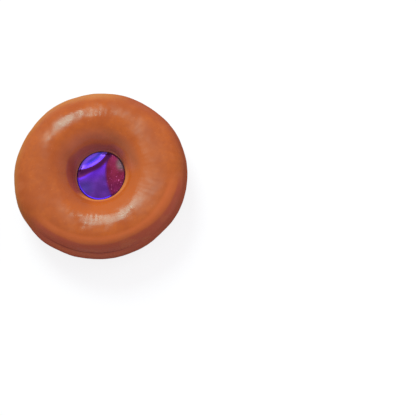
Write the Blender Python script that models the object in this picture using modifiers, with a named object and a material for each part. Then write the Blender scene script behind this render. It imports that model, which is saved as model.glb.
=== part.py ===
"""Ring doughnut, 100 mm across, with a disc of foil across the waist of its hole.

Metres, +Z up. The origin is at the middle of the flat base that the doughnut stands on. The front, nearest
the eye, is -Y. Two solids: the fried ring of dough and the foil disc.
"""

import math

import bpy
from mathutils import Vector, noise

# Driving dimensions of the ring, in metres.
RING_WIDTH = 0.1000
RING_HEIGHT = 0.0343
HOLE_WIDTH = 0.0293
WAIST_HEIGHT = 0.0160
BASE_CUT = 0.0016
BASE_ROUNDING = 0.0009

# Unevenness of the dough, as waves round the ring: how many, height in metres, turn in degrees.
RIM_WAVES = ((1, 0.0012, 83.0), (2, 0.0004, 82.0), (3, 0.0003, -56.0))
HOLE_WAVES = ((2, 0.0006, 166.0), (3, 0.0001, 180.0))
CROWN_WAVES = ((1, 0.0011, 117.0), (2, 0.0005, -90.0), (3, 0.0004, 30.0))
DIMPLE_DEPTH = 0.0005
DIMPLE_SPACING = 0.017

# Section of the dough: 2 would be an ellipse, and more gives squarer shoulders. The crown leans out from the
# middle of the dough, most towards the front and the right.
TOP_FULLNESS = 2.2
UNDER_FULLNESS = 2.25
CROWN_LEAN = 0.0020
LEAN_WAVES = ((1, 0.0041, -56.0),)

# Soft fold round the outer flank, where the two fried sides meet.
FOLD_HEIGHT = 0.0214
FOLD_WAVES = ((2, 0.0009, 90.0), (5, 0.0004, 90.0))
FOLD_STRENGTH = 0.65
FOLD_STRENGTH_WAVES = ((3, 0.35, 30.0),)
FOLD_DEPTH = 0.0008
FOLD_HALF_WIDTH = 0.0019

# Foil disc, wedged across the hole just above its waist.
FOIL_HEIGHT = WAIST_HEIGHT + 0.0012
FOIL_THICKNESS = 0.0008
FOIL_GAP = 0.0003
FOIL_BEAD = 0.0006

# Creases of the foil, in radii of the disc: the middle and reach of each arc. They die out towards the edge,
# later with more power.
CRESCENT_MIDDLE = (-0.99, 1.65)
CRESCENT_REACH = 1.40
CRESCENT_HEIGHT = 0.0004
CRESCENT_HALF_WIDTH = 0.15
SIDE_MIDDLE = (2.43, 0.21)
SIDE_REACH = 2.20
SIDE_HEIGHT = 0.0003
SIDE_HALF_WIDTH = 0.13
FLAT_EDGE_POWER = 4

# Fineness of the faceted solids.
RING_TURNS = 96
RING_ROLLS = 44
FOIL_TURNS = 60
FOIL_RINGS = 7
BEAD_STEPS = 5

CRUST_COLOUR = (0.46, 0.12, 0.033, 1.0)
FOIL_COLOUR = (0.11, 0.03, 0.42, 1.0)


def clear_scene():
    for item in list(bpy.data.objects):
        bpy.data.objects.remove(item, do_unlink=True)


def make_collection(name):
    collection = bpy.data.collections.new(name)
    bpy.context.scene.collection.children.link(collection)
    return collection


def make_material(name, colour, roughness, metallic=0.0, coat=0.0):
    material = bpy.data.materials.new(name)
    material.use_nodes = True
    shader = material.node_tree.nodes["Principled BSDF"]
    shader.inputs["Base Color"].default_value = colour
    shader.inputs["Roughness"].default_value = roughness
    shader.inputs["Metallic"].default_value = metallic
    shader.inputs["Coat Weight"].default_value = coat
    return material


def section(roll):
    """Place on a full round section 2 wide and 2 high: across, from the hole to the rim, and up."""
    across, up = math.cos(roll), math.sin(roll)
    power = 2 / (TOP_FULLNESS if up > 0 else UNDER_FULLNESS)
    return math.copysign(abs(across) ** power, across), math.copysign(abs(up) ** power, up)


def waves(turn, terms):
    """Sum of the waves round the ring, at the angle turn."""
    return sum(height * math.cos(count * turn - math.radians(phase)) for count, height, phase in terms)


def rim_reach(turn):
    """How far the outermost skin is from the middle of the hole."""
    return RING_WIDTH / 2 + waves(turn, RIM_WAVES)


def waist_reach(turn):
    """How far the narrowest part of the hole's wall is from its middle."""
    return HOLE_WIDTH / 2 + waves(turn, HOLE_WAVES)


def crown_height(turn):
    """Height of the ring's top along its crown, which dips and swells a little."""
    highest = sum(height for count, height, phase in CROWN_WAVES)
    return RING_HEIGHT - highest + waves(turn, CROWN_WAVES)


def settle(height):
    """Flattens what would lie below the table into the base, with a rounded edge."""
    if height <= -BASE_ROUNDING:
        return 0.0
    if height >= BASE_ROUNDING:
        return height
    return (height + BASE_ROUNDING) ** 2 / (4 * BASE_ROUNDING)


def flank_fold(turn, height):
    """Depth of the soft fold round the outer flank at this height."""
    middle = FOLD_HEIGHT + waves(turn, FOLD_WAVES)
    strength = FOLD_STRENGTH + waves(turn, FOLD_STRENGTH_WAVES)
    return FOLD_DEPTH * strength * math.exp(-(((height - middle) / FOLD_HALF_WIDTH) ** 2))


def ring_point(turn, roll):
    """Point of the skin at the angle turn round the hole and roll round the dough, which is 0 at the rim."""
    across, up = section(roll)
    half = (rim_reach(turn) - waist_reach(turn)) / 2
    reach = waist_reach(turn) + half + half * across
    reach += (CROWN_LEAN + waves(turn, LEAN_WAVES)) * (1 - across * across) * max(0.0, up)
    rise = crown_height(turn) - WAIST_HEIGHT
    drop = WAIST_HEIGHT + BASE_CUT
    height = WAIST_HEIGHT + (rise if up > 0 else drop) * up
    if across > 0:
        reach -= flank_fold(turn, height) * across
    point = Vector((reach * math.cos(turn), reach * math.sin(turn), height))
    outward = Vector((across * math.cos(turn), across * math.sin(turn), up)).normalized()
    point += outward * DIMPLE_DEPTH * noise.noise(point / DIMPLE_SPACING)
    point.z = settle(point.z)
    return point


def make_ring():
    """The fried ring: a torus whose every point is moved to the doughnut's own skin."""
    middle_reach = (RING_WIDTH + HOLE_WIDTH) / 4
    bpy.ops.mesh.primitive_torus_add(
        major_segments=RING_TURNS,
        minor_segments=RING_ROLLS,
        major_radius=middle_reach,
        minor_radius=(RING_WIDTH - HOLE_WIDTH) / 4,
    )
    ring = bpy.context.object
    ring.name = "doughnut_ring"
    for vertex in ring.data.vertices:
        turn = math.atan2(vertex.co.y, vertex.co.x)
        reach = math.hypot(vertex.co.x, vertex.co.y)
        roll = math.atan2(vertex.co.z, reach - middle_reach)
        vertex.co = ring_point(turn, roll)
    ring.data.shade_smooth()
    return ring


def middle_of(thing):
    """Middle of the object's outline, seen from above."""
    spots = [vertex.co for vertex in thing.data.vertices]
    across = (min(spot.x for spot in spots) + max(spot.x for spot in spots)) / 2
    along = (min(spot.y for spot in spots) + max(spot.y for spot in spots)) / 2
    return Vector((across, along, 0.0))


def wall_reach(turn):
    """How far the hole's wall is from its middle at the foil's height."""
    rise = crown_height(turn) - WAIST_HEIGHT
    up = (FOIL_HEIGHT - WAIST_HEIGHT) / rise
    roll = math.pi - math.asin(up ** (TOP_FULLNESS / 2))
    wall = ring_point(turn, roll)
    return math.hypot(wall.x, wall.y)


def arc_crease(x, y, middle, arc_reach, height, half_width):
    """Height of a raised crease that follows an arc across the foil."""
    off = math.hypot(x - middle[0], y - middle[1]) - arc_reach
    return height * math.exp(-((off / half_width) ** 2))


def foil_relief(x, y):
    """Height of the creased foil over its own plane, at a place given in radii of the disc."""
    crescent = arc_crease(x, y, CRESCENT_MIDDLE, CRESCENT_REACH, CRESCENT_HEIGHT, CRESCENT_HALF_WIDTH)
    side = arc_crease(x, y, SIDE_MIDDLE, SIDE_REACH, SIDE_HEIGHT, SIDE_HALF_WIDTH)
    edge = min(1.0, math.hypot(x, y))
    return (crescent + side) * (1 - edge**FLAT_EDGE_POWER)


def foil_profile():
    """Half section of a disc of radius 1: top, down round the bead at the edge, and back under."""
    bead = FOIL_BEAD / (HOLE_WIDTH / 2)
    inner = 1 - bead
    top = [Vector((inner * step / FOIL_RINGS, 0, FOIL_THICKNESS / 2)) for step in range(FOIL_RINGS)]
    edge = []
    for step in range(BEAD_STEPS + 1):
        lean = math.pi / 2 - math.pi * step / BEAD_STEPS
        edge.append(Vector((inner + bead * math.cos(lean), 0, FOIL_BEAD * math.sin(lean))))
    under = [Vector((spot.x, 0, -spot.z)) for spot in reversed(top)]
    return top + edge + under


def make_foil():
    """The foil disc: a turned profile, stretched to the hole's wall and creased."""
    spots = foil_profile()
    mesh = bpy.data.meshes.new("foil_profile")
    mesh.from_pydata(spots, [(n, n + 1) for n in range(len(spots) - 1)], [])
    profile = bpy.data.objects.new("foil_profile", mesh)
    bpy.context.scene.collection.objects.link(profile)
    screw = profile.modifiers.new("turn", "SCREW")
    screw.axis = "Z"
    screw.steps = screw.render_steps = FOIL_TURNS
    screw.use_merge_vertices = True
    screw.merge_threshold = 0.0001
    bpy.context.view_layer.update()
    turned = profile.evaluated_get(bpy.context.evaluated_depsgraph_get())
    foil = bpy.data.objects.new("foil_disc", bpy.data.meshes.new_from_object(turned))
    bpy.data.objects.remove(profile)
    for vertex in foil.data.vertices:
        x, y, z = vertex.co
        turn = math.atan2(y, x)
        reach = wall_reach(turn) - FOIL_GAP
        vertex.co = (x * reach, y * reach, FOIL_HEIGHT + z + foil_relief(x, y))
    foil.data.shade_smooth()
    return foil


def finish_piece(piece, collection, material, shift):
    """Centres the piece with the others, gives it its material and files it in the collection."""
    for vertex in piece.data.vertices:
        vertex.co -= shift
    piece.data.materials.clear()
    piece.data.materials.append(material)
    for owner in list(piece.users_collection):
        owner.objects.unlink(piece)
    collection.objects.link(piece)


def main():
    clear_scene()
    doughnut = make_collection("ring_doughnut")
    crust = make_material("glazed_crust", CRUST_COLOUR, 0.4, coat=0.6)
    foil_finish = make_material("violet_foil", FOIL_COLOUR, 0.2, metallic=1.0)
    ring = make_ring()
    foil = make_foil()
    shift = middle_of(ring)
    finish_piece(ring, doughnut, crust, shift)
    finish_piece(foil, doughnut, foil_finish, shift)


main()
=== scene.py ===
import math

import bpy
import numpy as np
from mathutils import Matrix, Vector, noise
from mathutils.bvhtree import BVHTree


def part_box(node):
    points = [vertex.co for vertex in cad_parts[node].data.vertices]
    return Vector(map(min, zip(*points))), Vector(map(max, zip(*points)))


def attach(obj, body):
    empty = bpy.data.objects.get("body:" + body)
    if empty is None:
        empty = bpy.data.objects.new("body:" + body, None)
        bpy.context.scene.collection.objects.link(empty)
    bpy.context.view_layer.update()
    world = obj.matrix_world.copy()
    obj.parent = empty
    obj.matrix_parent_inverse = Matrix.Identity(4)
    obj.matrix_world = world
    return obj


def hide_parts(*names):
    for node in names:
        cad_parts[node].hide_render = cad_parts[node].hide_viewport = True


# A glazed ring doughnut with creased foil across its hole. Metres, +Z up, with the eye on the -Y side.

# The eye: its lens and tilt, and the pixel of the 416 px frame where the middle of the ring falls.
FRAME_PIXELS = 416
SENSOR_WIDTH = 36.0
LENS = 77.88
EYE_TILT = math.radians(71.0)
EYE_DISTANCE = 0.5245
RING_MIDDLE = Vector((0.0, 0.0, 0.0165))
RING_MIDDLE_PIXEL = (101.1, 174.0)

# The crust's net of points: how many round the hole and how many round the dough, and the facets of the
# solid ring that it smooths over.
CRUST_TURNS = 448
CRUST_ROLLS = 216
SOLID_TURNS = 96
SOLID_ROLLS = 44
FACET_SHARE = 0.45

# Relief of the crust, in metres. PLEATS is about a sixth of how many pleats go round the ring.
LUMP_SPACING = 0.0100
LUMP_HEIGHT = 0.00022
RIPPLE_SPACING = 0.0040
RIPPLE_HEIGHT = 0.00008
PLEATS = 16.0
PLEAT_LENGTH = 0.0070
PLEAT_HEIGHT = 0.00003
BASE_BLEND = 0.0030

# Fold line round the flank, deepest at one turn round the ring. Here and below, a pair holds the two values
# between which something comes in softly.
FOLD_HEIGHT = 0.0214
FOLD_WAVES = ((2, 0.0009, 90.0), (5, 0.0004, 90.0))
FOLD_DEPTH = 0.0003
FOLD_HALF_WIDTH = 0.00055
FOLD_TURN = math.radians(262.0)
FOLD_DEEPENS = (0.84, 0.98)
FOLD_LEAST = 0.12
FLANK_REACH = (0.040, 0.044)

# Lip of the crust round the foil: how far it stands in, and its height on the hole's wall.
LIP_DEPTH = 0.0002
LIP_WAVES = ((1, 0.0007, 151.0),)
LIP_LEVEL = 0.0180
LIP_HALF_HEIGHT = 0.0030
LIP_REACH = (0.021, 0.018)

# The foil's net and its relief. Places are in metres from the middle of the hole. A crease is the middle and
# reach of its arc, then its height and half width.
FOIL_TURNS = 240
FOIL_RINGS = 60
BEAD_STEPS = 10
FOIL_HALF_THICKNESS = 0.0003
BEAD_RADIUS = 0.0006
EDGE_PRESS = 0.0001
FOIL_FLAT_SHARE = 0.86
CRESCENT_CREASE = (-0.0141, 0.0234, 0.0199, 0.00045, 0.0020)
SIDE_CREASE = (0.0345, 0.0030, 0.0312, 0.00008, 0.0016)
RIM_REACH = 0.0143
RIM_WAVES = ((1, 0.00054, -29.0), (2, 0.00053, 149.0))
CORNER_LIFT = 0.0009
CORNER_WIDTH = 0.0060
CRINKLE_SPACING = 0.0045
CRINKLE_HEIGHT = 0.00008

# Edges of the soft patches and of the specks that both finishes use, in their textures' own numbers.
PATCH_EDGES = (0.36, 0.64)
SPECK_EDGES = (0.42, 0.12)

# Ways out from the hole, seen from above, that the crust's tints and gloss go by.
CRUST_WAYS = {
    "near_right": (0.77, -0.64),
    "far_right": (0.77, 0.64),
    "left": (-0.94, -0.34),
    "far_left": (-0.80, 0.60),
    "right": (0.95, 0.30),
    "front": (0.30, -0.95),
    "near_lip": (0.60, -0.80),
    "dull_left": (-0.95, -0.31),
    "dull_near": (0.50, -0.87),
    "dull_right": (0.99, -0.05),
    "dull_far": (0.82, 0.57),
    "brushed": (0.80, -0.60),
}
LIP_TILT = 0.22
RIM_TILT = -0.1

# Plain colours of the crust, as they show on a screen, then its patches, freckles and flecks: how many lie
# along a metre, and how strong and of what colour they are.
BROWN_CRUST = (183, 86, 31)
GOLDEN_CRUST = (195, 96, 34)
PATCHES_PER_METRE = 90.0
FRECKLES_PER_METRE = 420.0
FRECKLES = (0.35, (176, 84, 38))
FLECKS_PER_METRE = 1000.0
FLECK_SHARE = 0.03
FLECKS = (0.3, (222, 132, 84))

# Tints: how strong each is, its colour as it shows on a screen, and where it lies. A place names a measure
# of the piece, mostly in metres, and the two values between which the tint comes in.
SLOPE_TINTS_LIGHT_AND_SHADE = (
    (1.0, (198, 98, 37), ("near_right", 0.0, 0.0160), ("reach", 0.0360, 0.0260)),
    # Paler, bluer far inner slope: painted light and a painted violet reflection of the foil, lifting it in
    # its shade.
    (0.8, (198, 106, 72), ("reach", 0.0260, 0.0180), ("y", -0.0040, 0.0040)),
    # Darker left inner slope: painted shade on the wall that faces away from the soft box.
    (0.8, (170, 82, 42), ("left", 0.0080, 0.0150), ("reach", 0.0280, 0.0190)),
    (0.6, (164, 86, 42), ("far_right", 0.0140, 0.0200), ("reach", 0.0255, 0.0205)),
)
# Bright golden lip on the near side of the hole: a painted highlight where the lip catches the light.
NEAR_LIP_HIGHLIGHT = (
    0.7,
    (240, 150, 76),
    ("lip_level", 0.0262, 0.0222),
    ("near_lip", 0.0020, 0.0100),
    ("reach", 0.0186, 0.0172),
)
OUTER = ("reach", *FLANK_REACH)
FRONT = ("front", 0.0120, 0.0280)
# Golden band along the near shoulder: painted light where the crown still faces the light, above the front
# flank that turns into shade.
SHOULDER_LIGHT = (1.0, (208, 103, 48), ("reach", 0.0400, 0.0425), ("z", 0.0275, 0.0292), FRONT)
FLANK = (1.0, (192, 88, 58), ("reach", 0.0425, 0.0445), ("z", 0.0295, 0.0278), FRONT)
UNDERSIDE = (1.0, (170, 84, 46), ("z", 0.0140, 0.0040))
FLANK_STROKES = (0.3, (206, 112, 62), OUTER, ("strokes", 0.50, 0.70))
# Dark line in the fold round the flank: painted shade in the crease.
FOLD_SHADE_COLOUR = (120, 42, 36)
FOLD_SHADE_PLACES = (OUTER, ("off_fold", 0.0008, 0.0001))
FOLD_SHADE = 0.5
BELOW_FOLD = (
    0.5,
    (212, 104, 60),
    ("over_fold", -0.0010, -0.0022),
    ("over_fold", -0.0060, -0.0040),
    ("fold_turn", 0.80, 0.97),
    OUTER,
)
# Golden far left rim: painted light on the side that faces the soft box. Redder right rim: painted shade on
# the side turned from it.
RIM_BAND = (OUTER, ("rim_level", 0.0290, 0.0225), ("rim_level", 0.0100, 0.0170))
GOLDEN_RIM_LIGHT = (0.8, (206, 130, 62), *RIM_BAND, ("far_left", 0.0080, 0.0300))
RED_RIM_SHADE = (0.6, (168, 76, 48), *RIM_BAND, ("right", 0.0150, 0.0350))

# Wine-coloured band round the far and left side of the hole's wall, painted shade with a painted violet
# reflection of the foil, and the paler lip under it, painted light.
LEFT_WALL = ("left", 0.0080, 0.0150)
RIGHT_WALL = ("x", 0.0020, 0.0090)
FAR_WALL = ("far", -0.0080, 0.0020)
FAR_WALL_SHADE = (180, 97, 84)
LEFT_WALL_SHADE = (156, 72, 60)
WALL_SHADE_REACH = (0.0176, 0.0164)
WALL_SHADE_WIDENING = 0.0012
FAR_LIP_LIGHT = (("z", 0.0202, 0.0186), FAR_WALL, ("reach", 0.0195, 0.0185))
FAR_LIP_LIGHT_STRENGTH = 0.7
LEFT_LIP_LIGHT = (200, 126, 104)
RIGHT_LIP_LIGHT = (240, 160, 118)

# Gloss of the glaze. Its roughness is the least, and what soft patches, each place and grazing light add.
LEAST_ROUGHNESS = 0.185
PATCH_SPACING = 0.0060
PATCH_ROUGHNESS = 0.08
DULL_PLACES = (
    (0.5, ("z", 0.0225, 0.0205), ("reach", 0.0195, 0.0180)),
    (0.44, ("dull_left", 0.0190, 0.0300)),
    (0.01, ("dull_near", 0.0200, 0.0280)),
    (0.22, ("dull_right", 0.0200, 0.0300)),
    (0.14, ("dull_far", 0.0240, 0.0300)),
)
GRAZED_EDGES = (0.45, 0.80)
GRAZED_ROUGHNESS = 0.45
GLAZE_SPECULAR = 0.31
GLAZE_TINT = (0.4, 1.0, 0.95, 1.0)

# Strokes of the glaze, each kind given by about a sixth of how many go round the ring and by their length,
# and its fine grain.
CROSSING_STROKES = (16.0, 0.0090)
RUNNING_STROKES = (6.0, 0.0024)
STROKE_STRENGTH = 0.22
BRUSHED_EDGES = (-0.0300, 0.0200)
BRUSHED_LEAST = 0.3
GRAIN_SPACING = 0.0020
GRAIN_STRENGTH = 0.04
BUMP_DEPTH = 0.0002

# The foil's violet middle.
VIOLET = (76, 28, 148)
DEEP_VIOLET = (1.0, (68, 31, 102), ("crescent", 0.0025, 0.0110))
DIM_SPOT = (-0.0084, -0.0077, 0.0)
DIM_CORNER = (1.0, (58, 38, 108), ("from_dim_spot", 0.0080, 0.0))
CLOUDS_PER_METRE = 160.0
CLOUDS = (0.25, (50, 22, 86))
BRIGHT_STREAK = (0.9, (86, 38, 178), ("x", -0.0020, -0.0090), ("past_band", 0.0022, 0.0008))
# Bright violet line just inside the low edge: a painted highlight where the rolled bead catches the light.
LOW_WAY = (-0.34, -0.94, 0)
LOW_BEAD_HIGHLIGHT = (
    1.0,
    (80, 40, 205),
    ("low", 0.0050, 0.0100),
    ("rim", -0.0014, -0.0010),
    ("rim", -0.0004, -0.0008),
)

# Its crimson right side, with a grey-green reflection and pink specks.
CRIMSON = (86, 20, 52)
CRIMSON_TINTS = (
    (1.0, (95, 24, 44), ("y", -0.0090, 0.0020)),
    (1.0, (112, 32, 62), ("y", 0.0040, 0.0110)),
    (1.0, (88, 66, 68), ("grey_spot", 0.05, 0.85)),
)
GREY_SPOT = (0.0121, 0.0053, 0.0)
GREY_SPOT_STRETCH = (1.0, 0.70, 1.0)
GREY_SPOT_REACH = 0.0054
DUST = (0.55, (150, 54, 108))
DUST_PER_METRE = 1400.0
DUST_SHARE = 0.3
DOTS = (0.45, (176, 84, 130))
DOTS_PER_METRE = 750.0
DOT_SHARE = 0.10

# Its bright far corner, its brightness a painted reflection on the violet foil, with a bluer streak, lighter
# towards the wall that shades it: painted light where the wall cuts off the soft box.
REFLECTED_VIOLET = (92, 56, 240)
NEAR_WALL_LIGHT = (1.0, (144, 98, 255), ("rim", -0.0035, -0.0012))
BLUE_STREAK = (
    0.9,
    (82, 78, 214),
    ("crescent", -0.0018, -0.0030),
    ("crescent", -0.0046, -0.0034),
    ("x", -0.0085, -0.0050),
)

# Where its colours meet: painted shade along the side crease, a dark band of painted shade under the corner,
# and a painted shadow at the edge where it meets the crust.
SIDE_SHADE = (1.0, (74, 22, 78), ("side", 0.0010, 0.0))
CRIMSON_EDGES = (0.0002, -0.0008)
BAND_WIDTH = 0.0028
BAND_WIDENING = 0.0020
BAND_WIDENS = (-0.0040, -0.0130)
CORNER_SHADE_BAND = (1.0, (84, 30, 80), ("past_band", 0.0008, -0.0004))
CORNER_EDGES = (0.0003, -0.0003)
EDGE_SHADOW_COLOUR = (34, 14, 38)
EDGE_SHADOW = (-0.0005, -0.0001)
FAR_RIGHT_WAY = (0.77, 0.64, 0)
FAINTER_SHADOW = (0.0080, 0.0130)
FAINTER_SHADOW_LOSS = 0.6
FOIL_METALLIC = 0.9
FOIL_ROUGHNESS = 0.4
FOIL_TINT = (0.30, 0.16, 0.50, 1.0)

# Studio. A lamp's azimuth is from +Y towards +X; then come its elevation, distance, size, power and colour.
FLOOR_WIDTH = 4.0
FLOOR_LIT = (0.35, 0.35, 0.35, 1)
FLOOR_SEEN = (0.2, 0.2, 0.2, 1)
FLOOR_GLOW = (0.82, 0.82, 0.82, 1)
FLOOR_ROUGHNESS = 0.9
NO_GLOW = (0, 0, 0, 1)
SKY_COLOUR = (0.97, 0.96, 1.1, 1)
SKY_STRENGTH = 0.53
SOFT_BOX = (-25, 51.5, 0.8, (0.34, 0.28), 3.95, (0.9, 1.0, 0.97))
SIDE_FILL = (70, 25, 0.9, (0.60, 0.60), 1.4, (1.0, 0.97, 1.0))


def paint(red, green, blue):
    """A colour given as it shows on a screen, 0 to 255, in the renderer's own linear numbers."""
    shares = (value / 255 for value in (red, green, blue))
    return (*(s / 12.92 if s <= 0.04045 else ((s + 0.055) / 1.055) ** 2.4 for s in shares), 1.0)


def soft_step(value, low, high):
    share = min(1.0, max(0.0, (value - low) / (high - low)))
    return share * share * (3 - 2 * share)


def waves(turn, terms):
    """Sum of waves round the ring, each given by how many, its height and its turn in degrees."""
    return sum(height * math.cos(count * turn - math.radians(shift)) for count, height, shift in terms)


# Nodes


def put(tree, kind, feeds, **settings):
    """Adds a node, with its settings, and feeds its sockets with values or with other nodes' outputs."""
    node = tree.nodes.new(kind)
    for name, value in settings.items():
        setattr(node, name, value)
    for socket, feed in feeds.items():
        if isinstance(feed, bpy.types.NodeSocket):
            tree.links.new(feed, node.inputs[socket])
        else:
            node.inputs[socket].default_value = feed
    return node


def calc(tree, operation, first, second=0.0, third=0.0):
    return put(tree, "ShaderNodeMath", {0: first, 1: second, 2: third}, operation=operation).outputs[0]


def along(tree, operation, first, second=(0, 0, 0), output=0):
    """Sum with vectors; output 1 is the number that a length, a distance or a dot product gives."""
    return put(tree, "ShaderNodeVectorMath", {0: first, 1: second}, operation=operation).outputs[output]


def rise(tree, value, low, high):
    """Softly from 0 at low to 1 at high."""
    feeds = {"Value": value, "From Min": low, "From Max": high}
    return put(tree, "ShaderNodeMapRange", feeds, interpolation_type="SMOOTHSTEP").outputs[0]


def blend(tree, mask, first, second):
    return put(tree, "ShaderNodeMix", {0: mask, 6: first, 7: second}, data_type="RGBA").outputs[2]


def cloud(tree, place, spacing, detail):
    feeds = {"Vector": place, "Scale": 1 / spacing, "Detail": detail}
    return put(tree, "ShaderNodeTexNoise", feeds).outputs[0]


def wave_sum(tree, turn, terms):
    """The same sum of waves as waves() gives, in nodes."""
    total = 0.0
    for count, height, shift in terms:
        angle = calc(tree, "MULTIPLY_ADD", turn, count, -math.radians(shift))
        total = calc(tree, "MULTIPLY_ADD", calc(tree, "COSINE", angle), height, total)
    return total


def mask_of(tree, where, places):
    """1 where every place's measure is past its second value, and 0 where one hasn't reached its first."""
    masks = [rise(tree, where[measure], low, high) for measure, low, high in places]
    product = masks[0]
    for mask in masks[1:]:
        product = calc(tree, "MULTIPLY", product, mask)
    return product


def lay(tree, colour, mask, strength, shade):
    """Lays a colour, as it shows on a screen, over the colour so far."""
    return blend(tree, calc(tree, "MULTIPLY", mask, strength), colour, paint(*shade))


def lay_tints(tree, colour, where, *tints):
    """Lays tints over the colour so far, one after another."""
    for strength, shade, *places in tints:
        colour = lay(tree, colour, mask_of(tree, where, places), strength, shade)
    return colour


# Effects that both finishes use


def new_effect(name, inputs, output):
    """Shader node group with one output; gives the group, its input node and its output node."""
    tree = bpy.data.node_groups.new(name, "ShaderNodeTree")
    for title, kind in inputs:
        tree.interface.new_socket(name=title, in_out="INPUT", socket_type=kind)
    tree.interface.new_socket(name=output, in_out="OUTPUT", socket_type="NodeSocketFloat")
    return tree, tree.nodes.new("NodeGroupInput"), tree.nodes.new("NodeGroupOutput")


def use_effect(tree, effect, feeds):
    return put(tree, "ShaderNodeGroup", feeds, node_tree=effect).outputs[0]


def make_mottle():
    """Soft patches: 0 in one tone and 1 in the other."""
    inputs = (("Place", "NodeSocketVector"), ("Patches per metre", "NodeSocketFloat"))
    tree, given, gives = new_effect("soft_mottle", inputs, "Mask")
    feeds = {"Vector": given.outputs[0], "Scale": given.outputs[1], "Detail": 4.0, "Roughness": 0.55}
    patches = put(tree, "ShaderNodeTexNoise", feeds).outputs[0]
    tree.links.new(rise(tree, patches, *PATCH_EDGES), gives.inputs[0])
    return tree


def make_specks():
    """Small scattered specks: 1 on a speck."""
    inputs = (
        ("Place", "NodeSocketVector"),
        ("Specks per metre", "NodeSocketFloat"),
        ("Share", "NodeSocketFloat"),
    )
    tree, given, gives = new_effect("fine_specks", inputs, "Mask")
    cells = put(tree, "ShaderNodeTexVoronoi", {"Vector": given.outputs[0], "Scale": given.outputs[1]})
    chance = put(tree, "ShaderNodeSeparateColor", {0: cells.outputs["Color"]}).outputs[0]
    chosen = calc(tree, "LESS_THAN", chance, given.outputs[2])
    near = rise(tree, cells.outputs["Distance"], *SPECK_EDGES)
    tree.links.new(calc(tree, "MULTIPLY", chosen, near), gives.inputs[0])
    return tree


# Shapes


def hole_middle():
    low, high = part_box("foil_disc")
    return (low + high) / 2


def piece_tree(piece):
    """Search tree of a piece's own faces."""
    mesh = piece.data
    spots = [vertex.co.copy() for vertex in mesh.vertices]
    faces = [list(face.vertices) for face in mesh.polygons]
    return BVHTree.FromPolygons(spots, faces)


def make_piece(name, spots, faces):
    mesh = bpy.data.meshes.new(name)
    mesh.from_pydata(spots, [], faces)
    mesh.shade_smooth()
    piece = bpy.data.objects.new(name, mesh)
    bpy.context.scene.collection.objects.link(piece)
    return piece


def blurred(net):
    """The net without waves as short as the solid's facets."""
    spectrum = np.fft.fft2(net, axes=(0, 1))
    for axis, facets in ((0, SOLID_TURNS), (1, SOLID_ROLLS)):
        count = np.fft.fftfreq(net.shape[axis]) * net.shape[axis]
        kept = np.exp(-2 * (math.pi * FACET_SHARE * count / facets) ** 2)
        shape = [1, 1, 1]
        shape[axis] = len(kept)
        spectrum = spectrum * kept.reshape(shape)
    return np.fft.ifft2(spectrum, axes=(0, 1)).real


def crust_net():
    """Fine net of points on the skin of the solid ring."""
    hole = hole_middle()
    low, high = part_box("doughnut_ring")
    foil_low, foil_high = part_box("foil_disc")
    reach = (high.x - low.x + foil_high.x - foil_low.x) / 4
    tree = piece_tree(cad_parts["doughnut_ring"])
    net = np.zeros((CRUST_TURNS, CRUST_ROLLS, 3))
    for turn_step in range(CRUST_TURNS):
        turn = 2 * math.pi * turn_step / CRUST_TURNS
        outward = Vector((math.cos(turn), math.sin(turn), 0))
        start = Vector((hole.x, hole.y, high.z / 2)) + outward * reach
        for roll_step in range(CRUST_ROLLS):
            roll = 2 * math.pi * roll_step / CRUST_ROLLS
            aim = outward * math.cos(roll) + Vector((0, 0, math.sin(roll)))
            net[turn_step, roll_step] = tree.ray_cast(start, aim)[0]
    return blurred(net)


def net_normals(net):
    """Outward direction at each point of a net that closes on itself both ways."""
    round_hole = np.roll(net, -1, axis=0) - np.roll(net, 1, axis=0)
    round_dough = np.roll(net, -1, axis=1) - np.roll(net, 1, axis=1)
    outward = np.cross(round_hole, round_dough)
    return outward / np.linalg.norm(outward, axis=2, keepdims=True)


def fold_relief(turn, reach, height):
    """Depth of the fold line round the flank."""
    middle = FOLD_HEIGHT + waves(turn, FOLD_WAVES)
    strength = FOLD_LEAST + (1 - FOLD_LEAST) * soft_step(math.cos(turn - FOLD_TURN), *FOLD_DEEPENS)
    depth = FOLD_DEPTH * strength * soft_step(reach, *FLANK_REACH)
    return depth * math.exp(-(((height - middle) / FOLD_HALF_WIDTH) ** 2))


def lip_relief(turn, reach, height):
    """How far the lip round the foil stands in from the hole's wall."""
    depth = (LIP_DEPTH + waves(turn, LIP_WAVES)) * soft_step(reach, *LIP_REACH)
    return depth * math.exp(-(((height - LIP_LEVEL) / LIP_HALF_HEIGHT) ** 2))


def crust_relief(spot, hole):
    """How far the glazed crust stands out from the plain skin at a spot."""
    off = spot - hole
    reach = math.hypot(off.x, off.y)
    turn = math.atan2(off.y, off.x)
    lumps = LUMP_HEIGHT * noise.noise(spot / LUMP_SPACING)
    ripples = RIPPLE_HEIGHT * noise.noise(spot / RIPPLE_SPACING)
    along_pleat = (reach + spot.z) / PLEAT_LENGTH
    pleat_place = Vector((math.cos(turn) * PLEATS, math.sin(turn) * PLEATS, along_pleat))
    pleats = PLEAT_HEIGHT * noise.noise(pleat_place)
    fold = fold_relief(turn, reach, spot.z)
    lip = lip_relief(turn, reach, spot.z)
    return (lumps + ripples + pleats + lip - fold) * soft_step(spot.z, 0.0, BASE_BLEND)


def add_crust_relief(net):
    hole = hole_middle()
    normals = net_normals(net)
    for step in np.ndindex(net.shape[:2]):
        net[step] += normals[step] * crust_relief(Vector(net[step]), hole)
    net[:, :, 2] = np.maximum(net[:, :, 2], 0.0)
    return net


def wrap_faces(turns, rolls):
    """Four-sided faces of a net that closes on itself both ways."""
    faces = []
    for turn in range(turns):
        here = turn * rolls
        after = (turn + 1) % turns * rolls
        for roll in range(rolls):
            beside = (roll + 1) % rolls
            faces.append((here + roll, after + roll, after + beside, here + beside))
    return faces


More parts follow.
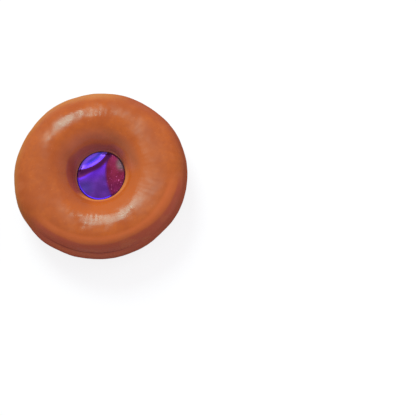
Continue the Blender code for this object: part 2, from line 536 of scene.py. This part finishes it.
def make_crust_piece():
    """The whole glazed crust, from the hole's wall over the crown and flank to the base."""
    net = add_crust_relief(crust_net())
    return make_piece("glazed_crust", net.reshape(-1, 3).tolist(), wrap_faces(CRUST_TURNS, CRUST_ROLLS))


def arc_ridge(x, y, arc):
    """Height of a soft ridge along an arc."""
    middle_x, middle_y, reach, height, half_width = arc
    off = math.hypot(x - middle_x, y - middle_y) - reach
    return height * math.exp(-((off / half_width) ** 2))


def foil_relief(x, y, share):
    """Height of the creased foil at a place from the middle of the hole, a share of the way to its edge."""
    creases = arc_ridge(x, y, CRESCENT_CREASE) + arc_ridge(x, y, SIDE_CREASE)
    crinkle = CRINKLE_HEIGHT * noise.noise(Vector((x, y, 0)) / CRINKLE_SPACING)
    middle_x, middle_y, reach = CRESCENT_CREASE[:3]
    inside = reach - math.hypot(x - middle_x, y - middle_y)
    corner = CORNER_LIFT * soft_step(inside, 0.0, CORNER_WIDTH)
    return corner + (creases + crinkle) * (1 - soft_step(share, FOIL_FLAT_SHARE, 1.0))


def foil_profile():
    """Half section of the foil, from the middle of its top round the rolled edge to the middle of its back.

    Each point is a share of the reach of the edge, a height and how far it is beyond that share.
    """
    top = [(ring / FOIL_RINGS, FOIL_HALF_THICKNESS, 0.0) for ring in range(1, FOIL_RINGS)]
    bead = []
    for step in range(BEAD_STEPS + 1):
        lean = math.pi / 2 - math.pi * step / BEAD_STEPS
        bead.append((1.0, BEAD_RADIUS * math.sin(lean), BEAD_RADIUS * math.cos(lean)))
    back = [(share, -height, beyond) for share, height, beyond in reversed(top)]
    return top + bead + back


def foil_spots(hole, wall, profile):
    """Points of the foil round the hole, its edge pressed a little into the crust's wall."""
    spots = []
    for turn_step in range(FOIL_TURNS):
        turn = 2 * math.pi * turn_step / FOIL_TURNS
        outward = Vector((math.cos(turn), math.sin(turn), 0))
        edge = (wall.ray_cast(hole, outward)[0] - hole).length - BEAD_RADIUS + EDGE_PRESS
        for share, height, beyond in profile:
            reach = share * edge + beyond
            x, y = outward.x * reach, outward.y * reach
            spots.append((hole.x + x, hole.y + y, hole.z + height + foil_relief(x, y, share)))
    return spots


def make_foil_piece(crust):
    """Closed disc of creased foil with a rolled edge."""
    hole = hole_middle()
    profile = foil_profile()
    spots = foil_spots(hole, piece_tree(crust), profile)
    count = len(profile)
    faces = []
    for turn_step in range(FOIL_TURNS):
        here, after = turn_step * count, (turn_step + 1) % FOIL_TURNS * count
        faces += [(here + n, here + n + 1, after + n + 1, after + n) for n in range(count - 1)]
    for end, side in ((0, 1), (count - 1, -1)):
        spots.append((hole.x, hole.y, hole.z + side * FOIL_HALF_THICKNESS + foil_relief(0, 0, 0)))
        middle = len(spots) - 1
        for turn_step in range(FOIL_TURNS):
            here, after = turn_step * count + end, (turn_step + 1) % FOIL_TURNS * count + end
            faces.append((middle, here, after)[::side])
    return make_piece("creased_foil", spots, faces)


# Finishes


def new_finish(name):
    material = bpy.data.materials.new(name)
    material.use_nodes = True
    return material, material.node_tree, material.node_tree.nodes["Principled BSDF"]


def dress(piece, node, finish):
    """Gives a piece its finish and puts it in place of a solid."""
    piece.data.materials.append(finish)
    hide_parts(node)
    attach(piece, "root")


def plain_measures(tree):
    """Place on a piece from the middle of the hole at the table's height, and measures taken from it."""
    hole = hole_middle()
    spot = put(tree, "ShaderNodeTexCoord", {}).outputs["Object"]
    place = along(tree, "SUBTRACT", spot, (hole.x, hole.y, 0.0))
    level = along(tree, "MULTIPLY", place, (1, 1, 0))
    parts = put(tree, "ShaderNodeSeparateXYZ", {0: place})
    where = {"place": place, "level": level}
    where["x"] = parts.outputs["X"]
    where["y"] = parts.outputs["Y"]
    where["z"] = parts.outputs["Z"]
    where["reach"] = along(tree, "LENGTH", level, output=1)
    where["turn"] = calc(tree, "ARCTAN2", where["y"], where["x"])
    return where


# The glazed crust


def strokes(tree, turn, second, rounds, length):
    """Strokes: about six times rounds of them go round the ring, each about length long along second."""
    across = calc(tree, "MULTIPLY", calc(tree, "COSINE", turn), rounds)
    along_it = calc(tree, "MULTIPLY", calc(tree, "SINE", turn), rounds)
    third = calc(tree, "DIVIDE", second, length)
    spot = put(tree, "ShaderNodeCombineXYZ", {0: across, 1: along_it, 2: third}).outputs[0]
    return cloud(tree, spot, 1.0, 0.0)


def crust_measures(tree):
    """What the crust's tints and gloss go by."""
    where = plain_measures(tree)
    for name, way in CRUST_WAYS.items():
        where[name] = along(tree, "DOT_PRODUCT", where["level"], (*way, 0), 1)
    where["far"] = calc(tree, "SUBTRACT", where["y"], where["x"])
    where["lip_level"] = calc(tree, "MULTIPLY_ADD", where["y"], LIP_TILT, where["z"])
    where["rim_level"] = calc(tree, "MULTIPLY_ADD", where["y"], RIM_TILT, where["z"])
    fold_height = calc(tree, "ADD", FOLD_HEIGHT, wave_sum(tree, where["turn"], FOLD_WAVES))
    where["over_fold"] = calc(tree, "SUBTRACT", where["z"], fold_height)
    where["off_fold"] = calc(tree, "ABSOLUTE", where["over_fold"])
    where["fold_turn"] = calc(tree, "COSINE", calc(tree, "SUBTRACT", where["turn"], FOLD_TURN))
    over_and_out = calc(tree, "ADD", where["reach"], where["z"])
    where["strokes"] = strokes(tree, where["turn"], over_and_out, *RUNNING_STROKES)
    return where


def plain_crust_colours(tree, place, mottle, specks):
    """Golden and brown patches with browner freckles and paler flecks."""
    patches = use_effect(tree, mottle, {"Place": place, "Patches per metre": PATCHES_PER_METRE})
    colour = blend(tree, patches, paint(*BROWN_CRUST), paint(*GOLDEN_CRUST))
    freckles = use_effect(tree, mottle, {"Place": place, "Patches per metre": FRECKLES_PER_METRE})
    colour = lay(tree, colour, freckles, *FRECKLES)
    feeds = {"Place": place, "Specks per metre": FLECKS_PER_METRE, "Share": FLECK_SHARE}
    return lay(tree, colour, use_effect(tree, specks, feeds), *FLECKS)


def wall_shade_band(tree, colour, where):
    """Wine-coloured band of painted shade round the far and left side of the hole, with a painted violet
    reflection of the foil, wider at its ends, and its paler lip of painted light.
    """
    left = mask_of(tree, where, (LEFT_WALL,))
    right = mask_of(tree, where, (RIGHT_WALL,))
    ends = calc(tree, "ADD", left, right)
    inside = rise(tree, calc(tree, "MULTIPLY_ADD", ends, -WALL_SHADE_WIDENING, where["reach"]), *WALL_SHADE_REACH)
    band = calc(tree, "MULTIPLY", inside, mask_of(tree, where, (FAR_WALL,)))
    colour = blend(tree, band, colour, blend(tree, left, paint(*FAR_WALL_SHADE), paint(*LEFT_WALL_SHADE)))
    lip = calc(tree, "MULTIPLY", mask_of(tree, where, FAR_LIP_LIGHT), FAR_LIP_LIGHT_STRENGTH)
    lip_light_colour = blend(tree, right, paint(*LEFT_LIP_LIGHT), paint(*RIGHT_LIP_LIGHT))
    return blend(tree, lip, colour, lip_light_colour)


def fold_shade_line(tree, colour, where):
    """Painted shade: a dark line in the fold round the flank, plainest where the fold is deepest."""
    deepens = rise(tree, where["fold_turn"], *FOLD_DEEPENS)
    strength = calc(tree, "MULTIPLY_ADD", deepens, FOLD_SHADE, FOLD_LEAST)
    return lay(tree, colour, mask_of(tree, where, FOLD_SHADE_PLACES), strength, FOLD_SHADE_COLOUR)


def flank_colours(tree, colour, where):
    """Golden shoulder of painted light, browner flank with a dark fold line of painted shade, golden far
    left rim of painted light and redder right rim of painted shade.
    """
    colour = lay_tints(tree, colour, where, SHOULDER_LIGHT, FLANK, UNDERSIDE, FLANK_STROKES)
    colour = fold_shade_line(tree, colour, where)
    return lay_tints(tree, colour, where, BELOW_FOLD, GOLDEN_RIM_LIGHT, RED_RIM_SHADE)


def glaze_roughness(tree, where):
    """Shiny in soft patches, and duller in the hole, on some sides and where light grazes the glaze."""
    patches = rise(tree, cloud(tree, where["place"], PATCH_SPACING, 1.0), *PATCH_EDGES)
    roughness = calc(tree, "MULTIPLY_ADD", patches, PATCH_ROUGHNESS, LEAST_ROUGHNESS)
    for change, *places in DULL_PLACES:
        roughness = calc(tree, "MULTIPLY_ADD", mask_of(tree, where, places), change, roughness)
    grazed = put(tree, "ShaderNodeLayerWeight", {"Blend": 0.5}).outputs["Facing"]
    return calc(tree, "MULTIPLY_ADD", rise(tree, grazed, *GRAZED_EDGES), GRAZED_ROUGHNESS, roughness)


def glaze_bumps(tree, where):
    """Fine grain and brush-like strokes of the glaze, the crossing ones strongest at the near right."""
    grain = cloud(tree, where["place"], GRAIN_SPACING, 1.0)
    feeds = {"Strength": GRAIN_STRENGTH, "Distance": BUMP_DEPTH, "Height": grain}
    fine = put(tree, "ShaderNodeBump", feeds).outputs[0]
    crossing = strokes(tree, where["turn"], where["reach"], *CROSSING_STROKES)
    brushed = rise(tree, where["brushed"], *BRUSHED_EDGES)
    share = calc(tree, "MULTIPLY_ADD", brushed, 1 - BRUSHED_LEAST, BRUSHED_LEAST)
    height = calc(tree, "ADD", calc(tree, "MULTIPLY", crossing, share), where["strokes"])
    feeds = {"Strength": STROKE_STRENGTH, "Distance": BUMP_DEPTH, "Height": height, "Normal": fine}
    return put(tree, "ShaderNodeBump", feeds).outputs[0]


def glazed_crust_finish(mottle, specks):
    material, tree, shader = new_finish("glazed_crust")
    where = crust_measures(tree)
    colour = plain_crust_colours(tree, where["place"], mottle, specks)
    colour = lay_tints(tree, colour, where, *SLOPE_TINTS_LIGHT_AND_SHADE)
    colour = wall_shade_band(tree, colour, where)
    colour = lay_tints(tree, colour, where, NEAR_LIP_HIGHLIGHT)
    colour = flank_colours(tree, colour, where)
    tree.links.new(colour, shader.inputs["Base Color"])
    tree.links.new(glaze_roughness(tree, where), shader.inputs["Roughness"])
    tree.links.new(glaze_bumps(tree, where), shader.inputs["Normal"])
    shader.inputs["Specular IOR Level"].default_value = GLAZE_SPECULAR
    shader.inputs["Specular Tint"].default_value = GLAZE_TINT
    return material


# The violet and crimson foil


def outside_arc(tree, level, arc):
    """How far outside an arc a place is."""
    middle_x, middle_y, reach = arc[:3]
    return calc(tree, "SUBTRACT", along(tree, "DISTANCE", level, (middle_x, middle_y, 0), 1), reach)


def foil_measures(tree):
    """What the foil's tints go by."""
    where = plain_measures(tree)
    level = where["level"]
    where["low"] = along(tree, "DOT_PRODUCT", level, LOW_WAY, 1)
    where["far_right"] = along(tree, "DOT_PRODUCT", level, FAR_RIGHT_WAY, 1)
    where["crescent"] = outside_arc(tree, level, CRESCENT_CREASE)
    where["side"] = outside_arc(tree, level, SIDE_CREASE)
    rim_reach = calc(tree, "ADD", wave_sum(tree, where["turn"], RIM_WAVES), RIM_REACH)
    where["rim"] = calc(tree, "SUBTRACT", where["reach"], rim_reach)
    widens = rise(tree, where["x"], *BAND_WIDENS)
    band = calc(tree, "MULTIPLY_ADD", widens, BAND_WIDENING, BAND_WIDTH)
    where["past_band"] = calc(tree, "SUBTRACT", where["crescent"], band)
    where["from_dim_spot"] = along(tree, "DISTANCE", level, DIM_SPOT, 1)
    stretched = along(tree, "MULTIPLY", level, GREY_SPOT_STRETCH)
    from_grey_spot = along(tree, "DISTANCE", stretched, GREY_SPOT, 1)
    where["grey_spot"] = rise(tree, from_grey_spot, GREY_SPOT_REACH, 0.0)
    return where


def violet_colours(tree, where, mottle):
    """The foil between its two creases, with a painted highlight along its low edge."""
    colour = lay_tints(tree, paint(*VIOLET), where, DEEP_VIOLET, DIM_CORNER)
    feeds = {"Place": where["place"], "Patches per metre": CLOUDS_PER_METRE}
    colour = lay(tree, colour, use_effect(tree, mottle, feeds), *CLOUDS)
    return lay_tints(tree, colour, where, BRIGHT_STREAK, LOW_BEAD_HIGHLIGHT)


def crimson_colours(tree, where, specks):
    """The foil's right side, with its grey-green reflection, pink dust and larger dots."""
    colour = lay_tints(tree, paint(*CRIMSON), where, *CRIMSON_TINTS)
    feeds = {"Place": where["level"], "Specks per metre": DUST_PER_METRE, "Share": DUST_SHARE}
    colour = lay(tree, colour, use_effect(tree, specks, feeds), *DUST)
    feeds = {"Place": where["level"], "Specks per metre": DOTS_PER_METRE, "Share": DOT_SHARE}
    return lay(tree, colour, use_effect(tree, specks, feeds), *DOTS)


def foil_edge_shadow(tree, where):
    """1 on the foil's painted shadow at its edge, fainter at the far right."""
    edge = rise(tree, where["rim"], *EDGE_SHADOW)
    pale = rise(tree, where["far_right"], *FAINTER_SHADOW)
    return calc(tree, "MULTIPLY", edge, calc(tree, "MULTIPLY_ADD", pale, -FAINTER_SHADOW_LOSS, 1.0))


def violet_foil_finish(mottle, specks):
    material, tree, shader = new_finish("violet_foil")
    where = foil_measures(tree)
    colour = violet_colours(tree, where, mottle)
    colour = lay_tints(tree, colour, where, SIDE_SHADE)
    crimson = crimson_colours(tree, where, specks)
    colour = blend(tree, rise(tree, where["side"], *CRIMSON_EDGES), colour, crimson)
    colour = lay_tints(tree, colour, where, CORNER_SHADE_BAND)
    corner = lay_tints(tree, paint(*REFLECTED_VIOLET), where, NEAR_WALL_LIGHT, BLUE_STREAK)
    colour = blend(tree, rise(tree, where["crescent"], *CORNER_EDGES), colour, corner)
    edge = foil_edge_shadow(tree, where)
    tree.links.new(blend(tree, edge, colour, paint(*EDGE_SHADOW_COLOUR)), shader.inputs["Base Color"])
    metallic = calc(tree, "MULTIPLY_ADD", edge, -FOIL_METALLIC, FOIL_METALLIC)
    tree.links.new(metallic, shader.inputs["Metallic"])
    roughness = calc(tree, "MULTIPLY_ADD", edge, FOIL_ROUGHNESS, FOIL_ROUGHNESS)
    tree.links.new(roughness, shader.inputs["Roughness"])
    shader.inputs["Specular Tint"].default_value = FOIL_TINT
    return material


# Studio


def make_eye():
    """The camera, placed so that the middle of the ring falls on its pixel."""
    focal = LENS / SENSOR_WIDTH * FRAME_PIXELS
    forward = Vector((0, math.cos(EYE_TILT), -math.sin(EYE_TILT)))
    above = Vector((0, math.sin(EYE_TILT), math.cos(EYE_TILT)))
    across = (RING_MIDDLE_PIXEL[0] - FRAME_PIXELS / 2) / focal
    up = (FRAME_PIXELS / 2 - RING_MIDDLE_PIXEL[1]) / focal
    aim = (forward + Vector((across, 0, 0)) + above * up).normalized()
    data = bpy.data.cameras.new("eye")
    data.lens = LENS
    data.sensor_width = SENSOR_WIDTH
    eye = bpy.data.objects.new("eye", data)
    eye.location = RING_MIDDLE - aim * EYE_DISTANCE
    eye.rotation_euler = (math.pi / 2 - EYE_TILT, 0, 0)
    bpy.context.scene.collection.objects.link(eye)
    bpy.context.scene.camera = eye


def make_soft_box(name, azimuth, elevation, distance, size, power, colour):
    """A soft box aimed at the ring."""
    turn, lift = math.radians(azimuth), math.radians(elevation)
    way = Vector((math.sin(turn) * math.cos(lift), math.cos(turn) * math.cos(lift), math.sin(lift)))
    data = bpy.data.lights.new(name, "AREA")
    data.shape = "RECTANGLE"
    data.size, data.size_y = size
    data.energy = power
    data.color = colour
    lamp = bpy.data.objects.new(name, data)
    lamp.location = RING_MIDDLE + way * distance
    lamp.rotation_euler = way.to_track_quat("Z", "Y").to_euler()
    bpy.context.scene.collection.objects.link(lamp)
    return lamp


def make_floor():
    """Plain floor, pale to the eye and grey in the light that it throws on the ring."""
    bpy.ops.mesh.primitive_plane_add(size=FLOOR_WIDTH)
    floor = bpy.context.object
    floor.name = "floor"
    material, tree, shader = new_finish("pale_floor")
    seen = put(tree, "ShaderNodeLightPath", {}).outputs["Is Camera Ray"]
    tree.links.new(blend(tree, seen, FLOOR_LIT, FLOOR_SEEN), shader.inputs["Base Color"])
    tree.links.new(blend(tree, seen, NO_GLOW, FLOOR_GLOW), shader.inputs["Emission Color"])
    shader.inputs["Emission Strength"].default_value = 1.0
    shader.inputs["Roughness"].default_value = FLOOR_ROUGHNESS
    floor.data.materials.append(material)


def make_sky():
    """Soft light all round."""
    sky = bpy.data.worlds.new("studio")
    sky.use_nodes = True
    background = sky.node_tree.nodes["Background"]
    background.inputs["Color"].default_value = SKY_COLOUR
    background.inputs["Strength"].default_value = SKY_STRENGTH
    bpy.context.scene.world = sky


def make_studio():
    """Floor, soft light all round, a soft box behind the ring and a weak one at its right with no shine."""
    make_floor()
    make_sky()
    make_soft_box("soft_box", *SOFT_BOX)
    side_fill = make_soft_box("side_fill", *SIDE_FILL)
    side_fill.visible_glossy = False
    bpy.context.scene.view_settings.view_transform = "Standard"


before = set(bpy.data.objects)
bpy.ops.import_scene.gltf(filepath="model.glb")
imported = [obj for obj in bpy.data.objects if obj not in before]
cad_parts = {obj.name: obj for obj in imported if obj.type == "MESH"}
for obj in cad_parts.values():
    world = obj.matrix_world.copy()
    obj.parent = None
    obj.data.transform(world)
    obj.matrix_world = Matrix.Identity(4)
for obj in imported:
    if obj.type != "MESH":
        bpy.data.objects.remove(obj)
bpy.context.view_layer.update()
mottle_effect = make_mottle()
specks_effect = make_specks()
crust = make_crust_piece()
dress(crust, "doughnut_ring", glazed_crust_finish(mottle_effect, specks_effect))
dress(make_foil_piece(crust), "foil_disc", violet_foil_finish(mottle_effect, specks_effect))
make_eye()
make_studio()
